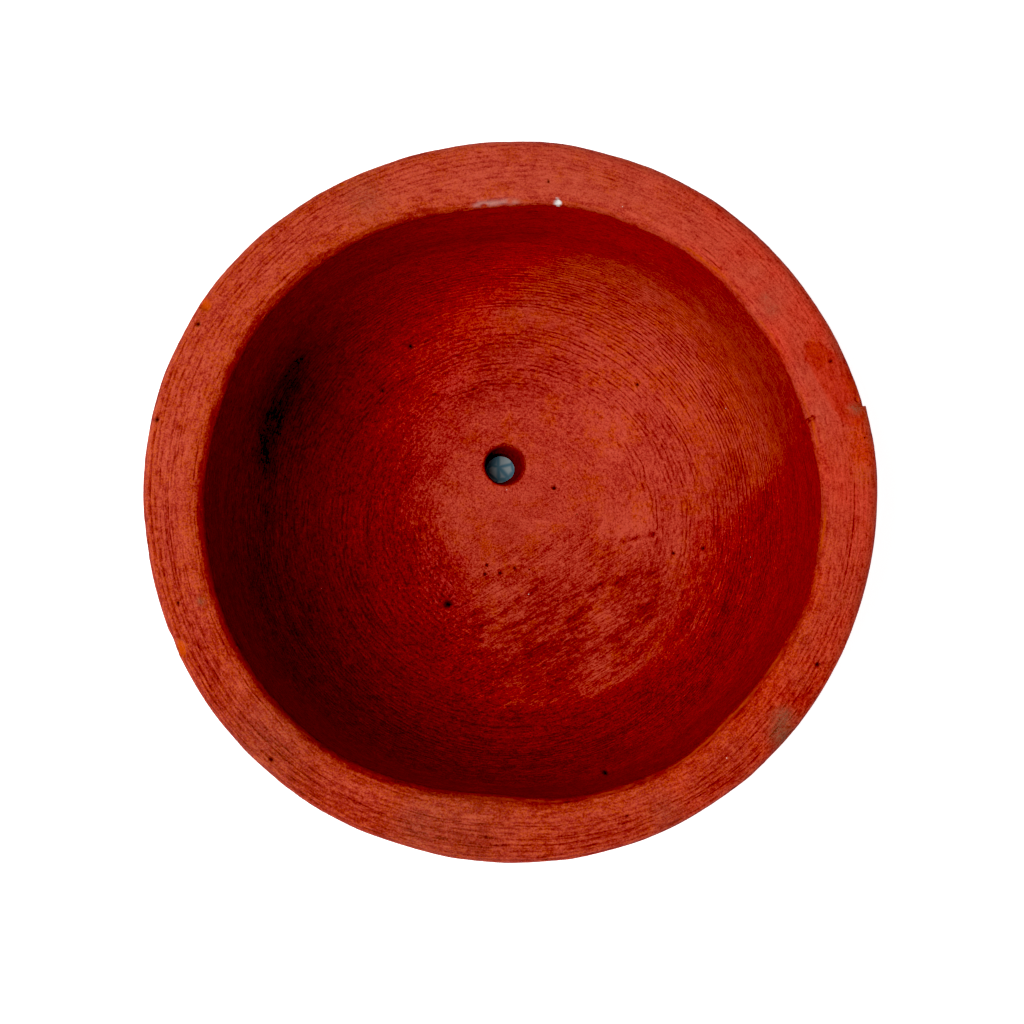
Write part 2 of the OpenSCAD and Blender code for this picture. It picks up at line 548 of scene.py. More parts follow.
def make_piece(name, p, marks, material, node):
    """A closed, smooth-shaded mesh from a grid of points in millimetres, with its marks."""
    rows, cols = p.shape[:2]
    index = np.arange(rows * cols).reshape(rows, cols)
    right, below = np.roll(index, -1, 1), np.roll(index, -1, 0)
    corner = np.roll(right, -1, 0)
    faces = np.stack([index, below, corner, right], -1).reshape(-1, 4)
    mesh = bpy.data.meshes.new(name)
    mesh.vertices.add(rows * cols)
    mesh.vertices.foreach_set("co", (p / MM).astype(np.float32).ravel())
    mesh.loops.add(faces.size)
    mesh.loops.foreach_set("vertex_index", faces.astype(np.int32).ravel())
    mesh.polygons.add(len(faces))
    mesh.polygons.foreach_set("loop_start", np.arange(0, faces.size, 4, dtype=np.int32))
    mesh.polygons.foreach_set("use_smooth", np.ones(len(faces), bool))
    mesh.update(calc_edges=True)
    for key, value in marks.items():
        attribute = mesh.attributes.new(key, "FLOAT", "POINT")
        attribute.data.foreach_set("value", value.astype(np.float32).ravel())
    piece = bpy.data.objects.new(name, mesh)
    bpy.context.scene.collection.objects.link(piece)
    mesh.materials.append(material)
    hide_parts(node)
    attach(piece, "root")


def bowl_profile(step):
    """The bowl's closed outline from the drain hole's upper edge round to it again.

    With it come each point's stretch, by number, and the lengths along the hollow's profile.
    """
    heel_r = FLAT_R + math.sqrt(OUTER_CURVE_R ** 2 - (CURVE_Z - HEEL_Z) ** 2)
    heel_turn = -math.degrees(math.asin((CURVE_Z - HEEL_Z) / OUTER_CURVE_R))
    count = round((JOINT_S - DRAIN_MOUTH_R) / step)
    s = np.linspace(DRAIN_MOUTH_R, JOINT_S - HUG, count)
    seat_in, seat_out = FOOT_R + TONGUE_LEAN, WALL_R - TONGUE_LEAN
    bevel_top, bevel_foot = (BASE_R + BEVEL_REACH, BEVEL_RISE), (BASE_R - BEVEL_REACH, 0)
    stretches = [
        [np.stack(inside_point(s), 1)],
        [
            line((FOOT_R, JOINT_Z), (seat_in, TONGUE_TOP), 1),
            line((seat_in, TONGUE_TOP), (seat_out, TONGUE_TOP), 1.2),
            line((seat_out, TONGUE_TOP), (WALL_R, JOINT_Z), 1),
        ],
        [
            line((WALL_R, JOINT_Z), (WALL_R, CURVE_Z), step * 1.8),
            arc((FLAT_R, CURVE_Z), OUTER_CURVE_R, 0, heel_turn, step * 1.8),
            line((heel_r, HEEL_Z), bevel_top, step * 1.8),
            line(bevel_top, bevel_foot, 0.4),
        ],
        [line(bevel_foot, (DRAIN_R, 0), step * 2.6)],
        [
            line((DRAIN_R, 0), (DRAIN_R, DRAIN_STRAIGHT), 0.7),
            line((DRAIN_R, DRAIN_STRAIGHT), (DRAIN_MOUTH_R, FLOOR_Z), 0.5),
        ],
    ]
    parts = [np.concatenate(stretch) for stretch in stretches]
    zone = np.repeat(np.arange(len(parts)), [len(part) for part in parts])
    return np.concatenate(parts), zone, s


def bowl_grid(step, count):
    """The bowl's points, the lengths along its outline, and the rows of each visible stretch.

    The rings of points gather round the off-centre drain hole.
    """
    centred_from = 66
    profile, zone, s_inside = bowl_profile(step)
    inside, _, outside, under, bore = (zone == number for number in range(5))
    r = profile[:, 0]
    gather = np.zeros(len(r))
    gather[inside] = between(s_inside, centred_from, DRAIN_MOUTH_R)
    gather[under] = between(r[under], BASE_R - 2, DRAIN_R)
    gather[bore] = 1
    theta = np.broadcast_to(columns(count), (len(r), count))
    z = np.broadcast_to(profile[:, 1:], theta.shape).copy()
    radius = warp(np.broadcast_to(r[:, None], theta.shape), z, theta)
    lean = between(z, FLOOR_Z, DRAIN_STRAIGHT) * (under | bore)[:, None] * gather[:, None]
    x = gather[:, None] * DRAIN_X + radius * np.cos(theta) + lean * DRAIN_LEAN[0]
    y = gather[:, None] * DRAIN_Y + radius * np.sin(theta) + lean * DRAIN_LEAN[1]
    shifted = inside & (gather > 0)
    z[shifted] = inside_z(np.hypot(x, y)[shifted])
    along = np.broadcast_to(profile_lengths(profile), theta.shape).copy()
    along[inside] = s_inside[:, None]
    along[shifted] = inside_s(np.hypot(x, y)[shifted])
    return np.stack([x, y, z], -1), along, (inside, outside, under, bore)


def with_hole_edge(relief, p):
    """The hollow's relief with a ragged burr round the drain hole, and how far its edge falls."""
    from_hole = np.hypot(p[..., 0] - DRAIN_X, p[..., 1] - DRAIN_Y)
    burr = 0.6 * np.exp(-((from_hole - DRAIN_MOUTH_R - 1.2) / 1.0) ** 2)
    burr = burr * (0.55 + 0.5 * noise(p, 3.5, 71) + 0.5 * noise(p, 1.4, 74))
    fallen = 0.6 * between(from_hole, DRAIN_MOUTH_R + 1.2, DRAIN_MOUTH_R - 0.2)
    calm = between(from_hole, DRAIN_MOUTH_R - 0.5, DRAIN_MOUTH_R + 3)
    return relief * calm + burr, fallen


def outside_surface(s, theta, p):
    """The outside of the bowl: broad finger ridges, turned lines, dents and a bare foot."""
    z = p[..., 2]
    fade = between(z, 0, 3) * between(z, JOINT_Z, JOINT_Z - 3)
    phase, strength = ring_phase(s, theta, 81), ring_strength(s, theta, 84) * fade
    swell = around(s + around(s, theta, 30, 1, 86), theta, 4.6, 0.9, 87)
    dents = 0.5 * noise(p, 26, 88) + 0.15 * noise(p, 8, 89) + 0.035 * noise(p, 1.1, 90)
    height = (0.28 * swell + dents) * fade - ring_relief(phase, strength)
    marks = {
        "dry_and_light": 0.42 + 0.16 * noise(p, 9, 72), "phase": phase, "strength": strength,
        "bare": between(z, 3.5, 1.0) * 0.8,
    }
    return height, marks


def bore_surface(p):
    """The drain hole's wall: uneven, deep red, darkened with painted shade, and rounded off at the top.
    """
    z = p[..., 2]
    top_edge = between(z, FLOOR_Z - 2.5, FLOOR_Z)
    height = 0.3 * noise(p, 2.2, 73) * between(z, 0, 2) - 0.35 * top_edge
    # Painted shade: the hole's wall is dark, a little less so at its rounded top
    return height, {"dry_and_light": 0.1 + 0.25 * top_edge, "darkening": 1.0 - 0.8 * top_edge}


def under_height(p):
    """The underside: bowed ridges left by the cutting wire, none lower than the base's edge."""
    x, y = p[..., 0], p[..., 1]
    bow_x, bow_y = -95, -20
    bow = np.hypot(x - bow_x, y - bow_y)
    ridges = noise(np.stack([bow / 1.5, y / 30, 0 * x], -1), 1.0, 91)
    fade = between(np.hypot(x, y), BASE_R - 0.5, BASE_R - 4)
    fade = fade * between(np.hypot(x - DRAIN_X, y - DRAIN_Y), DRAIN_R, DRAIN_R + 2)
    return (-0.26 - 0.2 * ridges + 0.05 * noise(p, 1.6, 92)) * fade


def build_bowl(material):
    """The thrown bowl, from the joint under the collar down to its flat base."""
    step = 0.36
    p, along, (inside, outside, under, bore) = bowl_grid(step, 960)
    turn = np.arctan2(p[..., 1], p[..., 0])
    height = np.zeros(turn.shape)
    marks = blank_marks(turn.shape)
    relief, values = hollow_surface(along[inside], turn[inside], p[inside])
    put_marks(marks, inside, values)
    relief, fallen = with_hole_edge(relief, p[inside])
    height[inside] = relief * between(along[inside], JOINT_S, JOINT_S - 12) - fallen
    height[outside], values = outside_surface(along[outside], turn[outside], p[outside])
    put_marks(marks, outside, values)
    height[under] = under_height(p[under])
    marks["bare"][under] = 1
    height[bore], values = bore_surface(p[bore])
    put_marks(marks, bore, values)
    marks["along"] = along
    make_piece("Bowl", p + grid_normals(p) * height[..., None], marks, material,
               "bowl_body")


def collar_profile(step):
    """The collar's closed outline, from its inner foot round to it again, and each point's stretch."""
    edge_z = POT_HEIGHT - EDGE_R - RIM_FALL
    seat_in, seat_out = FOOT_R + TONGUE_LEAN, WALL_R - TONGUE_LEAN
    foot, hug = (FOOT_R, JOINT_Z), (FOOT_R, JOINT_Z + HUG)
    parts = [
        np.concatenate([line(foot, hug, 1), line(hug, (MOUTH_R, POT_HEIGHT - LIP_R), step * 1.5)]),
        arc((MOUTH_R + LIP_R, POT_HEIGHT - LIP_R), LIP_R, 180, 90, 0.2),
        line((MOUTH_R + LIP_R, POT_HEIGHT), (RIM_R - EDGE_R, edge_z + EDGE_R), step * 0.75),
        arc((RIM_R - EDGE_R, edge_z), EDGE_R, 90, 0, step * 0.75),
        line((RIM_R, edge_z), (RIM_R, JOINT_Z + UNDER_R), step * 2),
        arc((RIM_R - UNDER_R, JOINT_Z + UNDER_R), UNDER_R, 0, -90, step * 1.4),
        line((RIM_R - UNDER_R, JOINT_Z), (WALL_R, JOINT_Z), 0.8),
        line((WALL_R, JOINT_Z), (seat_out, TONGUE_TOP), 1),
        line((seat_out, TONGUE_TOP), (seat_in, TONGUE_TOP), 1.2),
        line((seat_in, TONGUE_TOP), foot, 1),
    ]
    zone = np.repeat(np.arange(len(parts)), [len(part) for part in parts])
    return np.concatenate(parts), zone


# Long grooves turned into the outer half of the rim:
# (distance from the axis, depth, middle in degrees, half length in degrees)
RIM_GROOVES = [
    (96.2, 0.16, 205, 52), (97.5, 0.24, 200, 60), (98.8, 0.24, 225, 60), (99.9, 0.12, 168, 40),
    (101.2, 0.24, 232, 70), (102.5, 0.12, 160, 50), (95.6, 0.14, 262, 45), (97.0, 0.08, 140, 34),
    (98.2, 0.20, 268, 50), (100.4, 0.20, 284, 54), (102.1, 0.20, 296, 50), (98.2, 0.14, 342, 36),
    (100.0, 0.10, 352, 30), (99.8, 0.04, 60, 34), (101.6, 0.05, 96, 30), (99.0, 0.07, 118, 26),
    (102.6, 0.18, 190, 44), (94.4, 0.10, 240, 40), (93.2, 0.08, 210, 34), (96.9, 0.12, 300, 34),
    (103.3, 0.16, 250, 46), (94.9, 0.10, 186, 30), (91.2, 0.10, 186, 34), (90.6, 0.08, 268, 30),
    (90.3, 0.08, 22, 56), (91.6, 0.14, 165, 50), (92.0, 0.12, 225, 50), (91.4, 0.10, 110, 40),
    (90.2, 0.20, 52, 7), (91.8, 0.14, 50, 5),
]
# Knocks in the rim: (degrees, distance from the axis, height, size across, depth)
RIM_CHIPS = [
    (147.7, 105.4, 108.0, 2.4, 1.2), (204.8, 105.6, 107.5, 3.4, 1.9),
    (203.0, 105.8, 105.0, 3.0, 1.4), (52.8, 88.4, 110.0, 1.6, 0.7), (51.0, 88.9, 110.2, 1.3, 0.5),
    (48.8, 88.6, 110.0, 1.4, 0.5), (80.7, 87.2, 110.0, 1.5, 0.6), (262.0, 105.2, 108.0, 1.6, 0.6),
    (320.0, 104.8, 108.5, 3.4, 0.25), (69.0, 88.6, 110.0, 1.2, 0.4),
    (187.0, 105.6, 107.8, 1.4, 0.5), (118.0, 105.2, 108.0, 1.8, 0.5),
    (13.0, 89.2, 110.0, 1.6, 0.9), (15.6, 105.6, 108.2, 1.3, 0.8), (14.2, 101.6, 109.6, 2.0, 0.3),
]
# Greyish scuffs on the rim: (degrees, distance from the axis, radius, amount)
SCUFFS = [
    (318.5, 103.0, 3.4, 1.0), (321.0, 99.8, 3.0, 0.8), (14.2, 101.6, 1.7, 0.9),
    (35.5, 93.6, 1.8, 0.4), (38.0, 93.9, 1.6, 0.4), (199.0, 93.3, 1.2, 0.8),
    (296.0, 100.5, 5.0, 0.3), (254.0, 99.0, 7.0, 0.25), (115.8, 97.0, 6.0, 0.35),
    (226, 98.0, 15.0, 0.3), (262, 98.0, 15.0, 0.25),
]
# The first scuffs in the list are rough to the touch as well
ROUGH_SCUFFS = 2
# Smooth redder stain on the rim at the seam and past it: (degrees, distance from the axis, radius)
STAINS = [
    (13.0, 100.5, 3.2), (16.0, 100.0, 4.0), (19.5, 99.5, 4.4), (23.0, 98.5, 4.0),
    (20.0, 103.0, 3.6), (25.5, 97.0, 2.6),
]
# Orange smears on the rim: (degrees, distance from the axis, radius, amount)
SMEARS = [
    (26.5, 97.5, 2.6, 1.0), (24.0, 98.0, 2.2, 1.0), (10.0, 100.0, 3.2, 1.0), (6.5, 101.0, 3.4, 0.9),
    (3.0, 100.4, 3.0, 0.8), (13.0, 103.5, 2.6, 0.8), (18.0, 104.0, 2.4, 0.8),
]
# A spot of white chalk just inside the lip, in x and y, and the middle of a faint smear beside it
CHALK_SPOT = (14.1, 86.6)
SMEAR_DEGREES = 92.5


def spots(x, y, places):
    """Soft round spots: (degrees, distance from the axis, radius, amount)."""
    total = 0.0
    for degrees, radius, size, amount in places:
        px, py = at_rim(degrees, radius)
        total = total + amount * np.exp(-((x - px) ** 2 + (y - py) ** 2) / size ** 2)
    return np.clip(total, 0, 1)


def rim_grooves(r, theta):
    """The long grooves in the rim: how dark they are, as painted shade in them, and how deep."""
    half_width = 0.26
    darkest_depth = 0.16
    groove, depth = 0.0, 0.0
    for number, (radius, deep, middle, half) in enumerate(RIM_GROOVES):
        drift = 0.5 * around(0 * theta, theta, 1, 2.2, 110 + number)
        drift = drift + 0.12 * around(0 * theta, theta, 1, 16, 140 + number)
        cut = np.exp(-(((r - radius - drift) / half_width) ** 2))
        cut = cut * between(np.abs(turn_gap(theta, middle)), half, half * 0.5)
        cut = cut * between(around(0 * theta, theta, 1, 9, 170 + number), -1.0, 0.25)
        groove = np.maximum(groove, cut * min(1, deep / darkest_depth))
        depth = depth + deep * cut
    return groove, depth


def crown_wash(r, theta, p, x, y):
    """The wash on top of the rim: how dry, orange, red and wet it is from place to place."""
    left, low_side = toward_left(theta), toward_front(theta)
    shady = np.maximum(left, low_side)
    outer = between(r, 92.5, 98)
    right = between(np.cos(theta), 0.2, 0.85)
    from_lip = r - MOUTH_R + 0.5 * around(r, theta, 1, 12, 116) + 0.3 * around(r, theta, 1, 40, 118)
    # Painted shade: the lip's rounding is deep red on the shaded left and front
    lip_band = between(from_lip, 2.2, 1.4) * shady
    worn_band = between(from_lip, 6.0, 3.0) * (0.1 + 0.9 * shady)
    darkening = spots(x, y, [(*place, 1.0) for place in STAINS])
    wet = between(darkening + 0.15 * noise(p, 2, 114), 0.35, 0.6)
    dry_and_light = 0.69 + 0.05 * noise(p, 7, 112) + 0.06 * noise(p, 2.5, 113) - 0.38 * lip_band - 0.07 * left
    # Painted shade on the lip's rounding at the lit right and back
    dry_and_light = dry_and_light - 0.16 * between(from_lip, 2.6, 1.6) * (1 - shady) - 0.2 * wet - 0.05 * worn_band
    dry_and_light = dry_and_light - 0.03 * outer - 0.17 * low_side - 0.03 * hump(theta, 318, 20)
    dry_and_light = dry_and_light - (0.1 + 0.25 * (1 - shady)) * between(r, RIM_R - 1.0, RIM_R)
    warm = 0.6 * worn_band + between(r, 99.5, 103) * left * 0.6
    warm = warm + 0.85 * spots(x, y, SMEARS) + 0.2 * wet
    patchy = between(noise(p, 5, 115) + 0.6 * noise(p, 1.8, 117), -0.1, 0.8)
    warm = warm + (0.2 + 0.5 * patchy) * (1 - 0.6 * right) + 0.3 * shady + 0.15 * low_side
    red = right * (0.6 + 0.5 * noise(p, 6, 119)) + 0.6 * wet
    return dry_and_light, np.clip(warm, 0, 1), np.clip(red, 0, 1), wet


def crown_surface(r, theta, p):
    """The broad top of the rim: sandy inside, turned lines outside, the seam, scuffs and pinholes."""
    groove, depth = rim_grooves(r, theta)
    x, y = r * np.cos(theta), r * np.sin(theta)
    shady = np.maximum(toward_left(theta), toward_front(theta))
    outer = between(r, 92.5, 98)
    phase = ring_phase(r, theta, 101)
    strength = ring_strength(r, theta, 104) * (0.1 + (0.18 + 0.36 * shady) * outer)
    gap = turn_gap(theta, SEAM) + 0.5 * np.sin(r / 2.2)
    seam = np.exp(-((gap / 0.3) ** 2)) * between(r, 93.5, 90.0)
    seam = seam + 0.5 * np.exp(-((gap / 0.25) ** 2)) * between(r, 101, 103.5)
    waves = 0.15 * noise(p, 9, 106) + 0.05 * noise(p, 3, 107) + 0.04 * noise(p, 1.0, 108)
    pit_depth, dark = pits(x, y, [(*at_rim(d, pr), size, deep) for d, pr, size, deep in RIM_PITS])
    scuff = spots(x, y, SCUFFS)
    rough = spots(x, y, SCUFFS[:ROUGH_SCUFFS])
    height = waves - depth - ring_relief(phase, strength, RIM_RING_DEPTH) - 0.5 * seam - pit_depth
    height = height + rough * (0.4 * noise(p, 1.5, 109) - 0.25)
    dry_and_light, warm, red, wet = crown_wash(r, theta, p, x, y)
    marks = {
        "dry_and_light": dry_and_light, "warm": warm, "red": red, "pit_shade": dark, "grey": scuff,
        "phase": phase, "strength": strength * (1 - 0.8 * wet),
        "groove": np.clip(groove * (1 - 0.8 * wet) + seam, 0, 1),
        "grit": (0.84 + 0.16 * shady) * (1 - 0.35 * wet),
    }
    return height, marks


def knocks(p):
    """How deep the knocks in the rim go."""
    depth = 0.0
    for degrees, radius, height, size, deep in RIM_CHIPS:
        centre = np.array([*at_rim(degrees, radius), height])
        far = np.linalg.norm(p - centre, axis=-1) * (1 + 0.3 * noise(p, 1.3, 121))
        depth = depth + deep * between(far, size, size * 0.4)
    return depth


def collar_inner(along, z, theta, p):
    """The collar's inner face, which carries on the hollow's wash and lines."""
    ends = between(z, JOINT_Z, JOINT_Z + 12) * between(z, POT_HEIGHT - 1, POT_HEIGHT - 7)
    wall = 0.10 * around(along, theta, 4, 1, 131) + 0.3 * noise(p, 20, 132)
    wall = wall + 0.035 * noise(p, 1.0, 133) + 0.1 * noise(p, 6, 134)
    s = JOINT_S + z - JOINT_Z
    cover = coat_and_shade(s, theta, p[..., 0], p[..., 1])
    coat_level = coat_dryness_and_light(s, theta) + 0.1 * between(z, POT_HEIGHT - 5, POT_HEIGHT - 1.5)
    marks = {
        "dry_and_light": dusty_wash(s, theta, p) * (1 - cover) + coat_level * cover,
        "warm": warm_wash(s, p), "coat_and_shade": cover, "phase": hollow_phase(s, theta),
        "strength": (0.4 + 0.4 * (1 - cover)) * ring_strength(s, theta, 46),
        "grit": coat_grit(cover),
    }
    return wall * ends, marks


def collar_outer(along, z, theta, p):
    """The collar's outer face: ridges and turned lines that fade out at its edges."""
    ends = between(z, JOINT_Z, JOINT_Z + 2.5) * between(z, POT_HEIGHT - 5, POT_HEIGHT - 9)
    phase = ring_phase(along, theta, 151)
    strength = ring_strength(along, theta, 154) * ends
    swell = around(along, theta, 3.6, 1.0, 156)
    side = 0.22 * swell + 0.3 * noise(p, 18, 157) + 0.035 * noise(p, 1.0, 158)
    marks = {"dry_and_light": 0.42 + 0.16 * noise(p, 8, 159), "phase": phase, "strength": strength}
    return side * ends - ring_relief(phase, strength), marks


def lip_wear_and_highlight(along, lip_middle, theta):
    """A broken line along the lip where the wash has worn through, plainest at the right, where it is
    painted highlight on the lit edge as well.
    """
    ragged = 0.4 + 0.8 * around(along, theta, 1.2, 9, 161) + 0.6 * around(along, theta, 0.8, 40, 162)
    stray = along - lip_middle - 0.2 + 0.25 * around(along, theta, 3, 30, 165)
    lip_line = np.exp(-(stray / 0.5) ** 2)
    return lip_line * ragged * (0.35 + 0.65 * between(np.cos(theta), -0.2, 0.5))


def chalk_marks(along, lip_middle, z, theta, p):
    """The chalk spot and the faint smear beside it."""
    smear = between(np.abs(turn_gap(theta, SMEAR_DEGREES)), 5.5, 3)
    smear = smear * np.exp(-((along - lip_middle) / 0.8) ** 2)
    smear = smear * between(noise(p, 1.5, 163), -0.6, 0.4)
    far = np.hypot(p[..., 0] - CHALK_SPOT[0], p[..., 1] - CHALK_SPOT[1])
    white = between(far + 0.5 * noise(p, 0.8, 164), 1.25, 0.8)
    return np.clip(0.3 * smear + white * (z > POT_HEIGHT - 3), 0, 1)


def build_collar(material):
    """The rim collar: a thick coil with a broad top, seated on the bowl's wall."""
    step = 0.36
    theta_row = columns(1200)
    profile, zone = collar_profile(step)
    theta = np.broadcast_to(theta_row, (len(profile), len(theta_row)))
    r = np.broadcast_to(profile[:, :1], theta.shape)
    z = np.broadcast_to(profile[:, 1:], theta.shape)
    radius = warp(r, z, theta)
    p = np.stack([radius * np.cos(theta), radius * np.sin(theta), sag(r, z, theta)], -1)
    along = np.broadcast_to(profile_lengths(profile), theta.shape)
    inner, lip, seat = zone == 0, zone == 1, zone >= 6
    crown, outer = (zone >= 1) & (zone <= 3), (zone == 4) | (zone == 5)
    height = np.zeros(theta.shape)
    marks = blank_marks(theta.shape)
    height[crown], values = crown_surface(r[crown], theta[crown], p[crown])
    put_marks(marks, crown, values)
    for rows, surface in ((inner, collar_inner), (outer, collar_outer)):
        height[rows], values = surface(along[rows], z[rows], theta[rows], p[rows])
        put_marks(marks, rows, values)
    knock = knocks(p)
    height = np.where(seat[:, None], 0, height - knock)
    lip_middle = along[lip].mean()
    lip_line = lip_wear_and_highlight(along, lip_middle, theta)
    marks["wear_and_highlight"] = np.clip(lip_line + 1.4 * knock * between(knock, 0.15, 0.5), 0, 1)
    marks["chalk"] = chalk_marks(along, lip_middle, z, theta, p)
    marks["along"] = along + JOINT_S
    make_piece("RimCollar", p + grid_normals(p) * height[..., None], marks, material,
               "rim_collar")


# ---- materials


class Nodes:
    """Short names for the shader nodes that the materials use."""

    def __init__(self, name):
        self.material = bpy.data.materials.new(name)
        self.material.use_nodes = True
        self.tree = self.material.node_tree
        self.shader = self.tree.nodes["Principled BSDF"]

    def new(self, kind):
        return self.tree.nodes.new("ShaderNode" + kind)

    def put(self, node, socket, value):
        if isinstance(value, bpy.types.NodeSocket):
            self.tree.links.new(value, node.inputs[socket])
        else:
            node.inputs[socket].default_value = value

    def math(self, operation, a, b=0.0, clamp=False):
        node = self.new("Math")
        node.operation, node.use_clamp = operation, clamp
        self.put(node, 0, a)
        self.put(node, 1, b)
        return node.outputs[0]

    def times(self, a, b):
        return self.math("MULTIPLY", a, b)

    def span(self, value, low, high, to_low=0.0, to_high=1.0):
        node = self.new("MapRange")
        node.interpolation_type = "SMOOTHSTEP"
        for socket, v in enumerate((value, low, high, to_low, to_high)):
            self.put(node, socket, v)
        return node.outputs[0]

    def noise(self, vector, scale, detail=2.0, roughness=0.5):
        node = self.new("TexNoise")
        values = {"Vector": vector, "Scale": scale, "Detail": detail, "Roughness": roughness}
        for socket, v in values.items():
            self.put(node, socket, v)
        return node.outputs["Fac"]

    def specks(self, vector, spacing, size):
        """Round specks about spacing apart, in millimetres."""
        node = self.new("TexVoronoi")
        self.put(node, "Vector", vector)
        self.put(node, "Scale", 1 / spacing)
        return self.span(node.outputs["Distance"], size / spacing, 0.5 * size / spacing)

    def mix(self, share, a, b, blend="MIX"):
        node = self.new("Mix")
        node.data_type, node.blend_type = "RGBA", blend
        for socket, v in ((0, share), (6, a), (7, b)):
            self.put(node, socket, v)
        return node.outputs[2]

    def tint(self, share, colour, by):
        return self.mix(share, colour, by, "MULTIPLY")

    def ramp(self, value, stops):
        node = self.new("ValToRGB")
        ends = node.color_ramp.elements
        ends[0].position, ends[0].color = stops[0]
        ends[1].position, ends[1].color = stops[-1]
        for position, colour in stops[1:-1]:
            ends.new(position).color = colour
        self.put(node, 0, value)
        return node.outputs[0]

    def mark(self, name):
        node = self.new("Attribute")
        node.attribute_name = name
        return node.outputs["Fac"]

    def vector(self, operation, a, b=None):
        node = self.new("VectorMath")
        node.operation = operation
        self.put(node, 0, a)
        if b is not None:
            self.put(node, "Scale" if operation == "SCALE" else 1, b)
        return node.outputs["Value" if operation == "LENGTH" else "Vector"]

    def place(self):
        """Position on the pot, in millimetres."""
        node = self.new("TexCoord")
        return self.vector("SCALE", node.outputs["Object"], MM)

    def wiping(self, place, stretch):
        """Coordinates that draw a pattern out along the strokes across the floor."""
        node = self.new("Mapping")
        node.vector_type = "TEXTURE"
        node.inputs["Rotation"].default_value[2] = WIPE_TURN
        node.inputs["Scale"].default_value = (stretch, 1, stretch)
        self.put(node, 0, place)
        return node.outputs[0]

    def turning(self, place, along, turns):
        """Coordinates that draw a pattern out round the pot."""
        flat = self.vector("MULTIPLY", place, (1, 1, 0))
        unit = self.vector("NORMALIZE", flat)
        lift = self.new("CombineXYZ")
        self.put(lift, 2, along)
        return self.vector("ADD", self.vector("SCALE", unit, turns), lift.outputs[0])


# The wash from wet and deep red to dry and dusty: (dryness, colour)
WASH = [
    (0.00, (0.14, 0.018, 0.016, 1)), (0.22, (0.30, 0.028, 0.024, 1)),
    (0.44, (0.36, 0.037, 0.035, 1)), (0.56, (0.45, 0.055, 0.043, 1)),
    (0.66, (0.52, 0.074, 0.053, 1)), (0.80, (0.59, 0.096, 0.064, 1)),
    (1.00, (0.66, 0.118, 0.080, 1)),
]
ORANGE_TINT = (0.98, 0.96, 0.52, 1)
RED_TINT = (1.14, 0.80, 0.78, 1)
# Deeper red of the coat, and painted shade where it covers the shaded left wall
COAT_AND_SHADE_TINT = (1.03, 0.66, 0.75, 1)
# Painted shade: darkens the upper-left wall, the blotches and the drain hole's wall
SHADE_AND_BLOTCH_TINT = (0.25, 0.2, 0.2, 1)
# Orange of worn clay, and a painted highlight along the lit lip
WORN_AND_HIGHLIGHT = (0.62, 0.098, 0.016, 1)
BARE = (0.50, 0.20, 0.11, 1)
CHALK = (0.85, 0.80, 0.78, 1)
# Black for the flecks and specks, and painted shade in the pinholes
FLECK_AND_SHADE_BLACK = (0.012, 0.010, 0.010, 1)
GREY = (0.25, 0.13, 0.08, 1)
# Painted shade: the table's beads, bluish-grey in the pot's shade, and their darker edges
BEAD_SHADE = (0.22, 0.27, 0.29, 1)
BEAD_EDGE_SHADE = (0.05, 0.13, 0.18, 1)
TABLE_WHITE = (0.9, 0.9, 0.9, 1)


def clay_grain(n, place, along, grain):
    """Sandy grain about zero, part of it drawn out round the pot or along the wiping strokes."""
    drawn = n.noise(n.turning(place, along, 17.0), 1.5, 2.5, 0.65)
    hatch = n.math("SUBTRACT", n.noise(n.wiping(place, 10), 2.2, 2.5, 0.65), 0.5)
    hatch = n.times(hatch, n.mark("wipe"))
    dabs = n.noise(place, 0.8, 2, 0.5)
    both = n.math("ADD", n.times(grain, 1.9), n.times(drawn, 1.3))
    both = n.math("ADD", both, n.times(dabs, 0.6))
    both = n.math("ADD", n.math("SUBTRACT", both, 1.9), n.times(hatch, 1.6))
    return n.times(both, n.mark("grit"))


def clay_lines(n, place, along):
    """The turned lines and the grooves, broken up along their length."""
    crest = n.math("COSINE", n.times(n.mark("phase"), 2 * math.pi))
    broken = n.span(n.noise(n.turning(place, along, 26.0), 1.1, 2, 0.6), 0.38, 0.54, 0.1, 1.0)
    rings = n.times(n.times(n.span(crest, 0.1, 0.9), n.mark("strength")), broken)
    return n.math("MAXIMUM", rings, n.times(n.span(n.mark("groove"), 0.3, 0.85), broken))


def wash_colour(n, place, cover, both, cut):
    """The wash's colour: drier is paler, patches and the smooth coat are deeper, and the turned lines
    and grooves are darker, as painted shade in them.
    """
    mottle = n.noise(place, 0.11, 4, 0.6)
    tone = n.math("ADD", n.mark("dry_and_light"), both)
    tone = n.math("ADD", tone, n.span(mottle, 0.35, 0.65, -0.06, 0.06))
    # Painted shade in the turned lines and grooves
    tone = n.math("SUBTRACT", tone, n.times(cut, 0.5))
    tone = n.math("MULTIPLY_ADD", tone, 0.75)
    tone.node.inputs[2].default_value = 0.25
    colour = n.ramp(tone, WASH)
    warm = n.times(n.mark("warm"), n.span(n.noise(place, 1.5, 3, 0.7), 0.4, 0.58, 0.1, 1.0))
    colour = n.tint(warm, colour, ORANGE_TINT)
    colour = n.tint(n.mark("red"), colour, RED_TINT)
    return n.tint(cover, colour, COAT_AND_SHADE_TINT)


